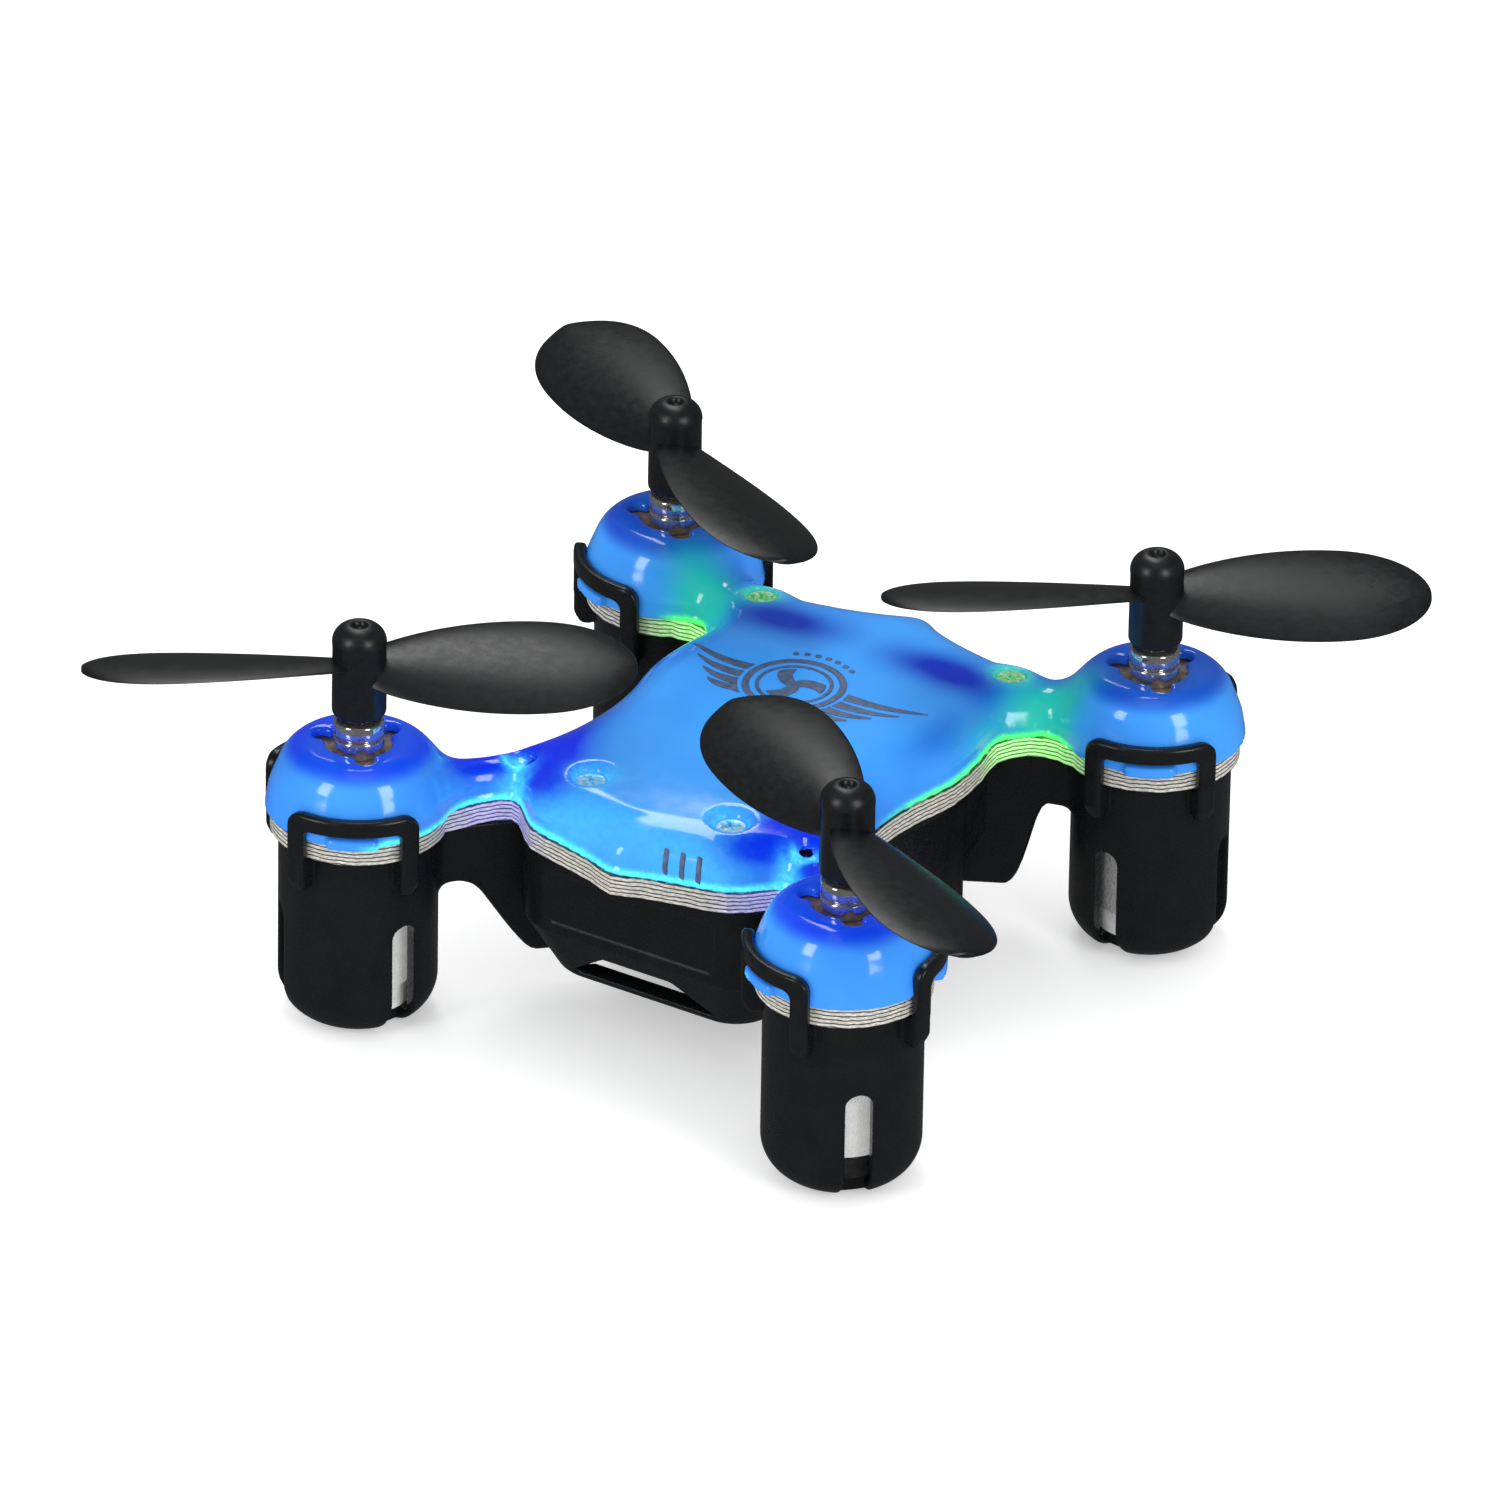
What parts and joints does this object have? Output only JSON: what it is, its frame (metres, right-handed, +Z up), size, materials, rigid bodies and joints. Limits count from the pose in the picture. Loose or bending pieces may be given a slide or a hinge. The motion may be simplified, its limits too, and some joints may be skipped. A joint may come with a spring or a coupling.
{
  "type": "mini quadcopter drone",
  "caption": "Palm-size quadcopter: glossy domed canopy over a laminated board, black shell with slotted motor pods, and two-blade propellers that spin.",
  "frame": {"origin": "middle of the four motor axes, on the plane of the motor pods' undersides, which the drone stands on", "axes": "+Z up, nose towards -Y, the drone's own left side towards +X"},
  "size_m": [0.0578, 0.0512, 0.0239],
  "materials": {
    "canopy_blue": "glossy tinted",
    "shell_black": "satin moulded",
    "board_laminate": "cut laminate edge",
    "prop_black": "satin moulded",
    "screw_steel": "plated",
    "cell_foil": "crinkled foil",
    "foam_tape": "foam",
    "wire_red": "insulated",
    "chip_black": "moulded",
    "chip_tan": "ceramic",
    "crystal_steel": "plain",
    "can_steel": "drawn can",
    "boss_chrome": "bright",
    "shaft_steel": "ground",
    "magnet_grey": "plated",
    "coil_copper": "enamelled copper",
    "cap_plastic": "moulded",
    "led_blue": "clear lens",
    "led_green": "clear lens",
    "switch_steel": "pressed",
    "socket_white": "moulded"
  },
  "bodies": {
    "airframe": {"bottom_shell": "shell_black", "main_board": "board_laminate", "top_shell": "canopy_blue", "shell_screws": "screw_steel", "battery_cell": "cell_foil", "battery_tape": "foam_tape", "battery_leads": "wire_red", "flight_chip": "chip_black", "gyro_chip": "chip_black", "radio_chip": "chip_black", "crystal": "crystal_steel", "motor_drivers": "chip_black", "small_parts": "chip_tan", "antenna": "chip_tan", "power_switch_case": "switch_steel", "charge_socket": "socket_white", "motor_magnet_front_left": "magnet_grey", "motor_boss_front_left": "boss_chrome", "motor_can_front_left": "can_steel", "motor_end_cap_front_left": "cap_plastic", "motor_leads_front_left": "wire_red", "led_front_left": "led_blue", "motor_magnet_front_right": "magnet_grey", "motor_boss_front_right": "boss_chrome", "motor_can_front_right": "can_steel", "motor_end_cap_front_right": "cap_plastic", "motor_leads_front_right": "wire_red", "led_front_right": "led_blue", "motor_magnet_rear_left": "magnet_grey", "motor_boss_rear_left": "boss_chrome", "motor_can_rear_left": "can_steel", "motor_end_cap_rear_left": "cap_plastic", "motor_leads_rear_left": "wire_red", "led_rear_left": "led_green", "motor_magnet_rear_right": "magnet_grey", "motor_boss_rear_right": "boss_chrome", "motor_can_rear_right": "can_steel", "motor_end_cap_rear_right": "cap_plastic", "motor_leads_rear_right": "wire_red", "led_rear_right": "led_green"},
    "rotor_front_left": {"propeller_front_left": "prop_black", "motor_shaft_front_left": "shaft_steel", "motor_coil_front_left": "coil_copper"},
    "rotor_front_right": {"propeller_front_right": "prop_black", "motor_shaft_front_right": "shaft_steel", "motor_coil_front_right": "coil_copper"},
    "rotor_rear_left": {"propeller_rear_left": "prop_black", "motor_shaft_rear_left": "shaft_steel", "motor_coil_rear_left": "coil_copper"},
    "rotor_rear_right": {"propeller_rear_right": "prop_black", "motor_shaft_rear_right": "shaft_steel", "motor_coil_rear_right": "coil_copper"},
    "switch_slider": {"power_switch_slider": "chip_black"}
  },
  "joints": [
    {"name": "spin_front_left", "type": "hinge", "parent": "airframe", "child": "rotor_front_left", "pos_m": [0.01575, -0.01575, 0.021], "axis": [0, 0, 1], "continuous": true},
    {"name": "spin_front_right", "type": "hinge", "parent": "airframe", "child": "rotor_front_right", "pos_m": [-0.01575, -0.01575, 0.021], "axis": [0, 0, 1], "continuous": true},
    {"name": "spin_rear_left", "type": "hinge", "parent": "airframe", "child": "rotor_rear_left", "pos_m": [0.01575, 0.01575, 0.021], "axis": [0, 0, 1], "continuous": true},
    {"name": "spin_rear_right", "type": "hinge", "parent": "airframe", "child": "rotor_rear_right", "pos_m": [-0.01575, 0.01575, 0.021], "axis": [0, 0, 1], "continuous": true},
    {"name": "power_switch_slide", "type": "slide", "parent": "airframe", "child": "switch_slider", "axis": [1, 0, 0], "range_m": [0, 0.0016]}
  ]
}
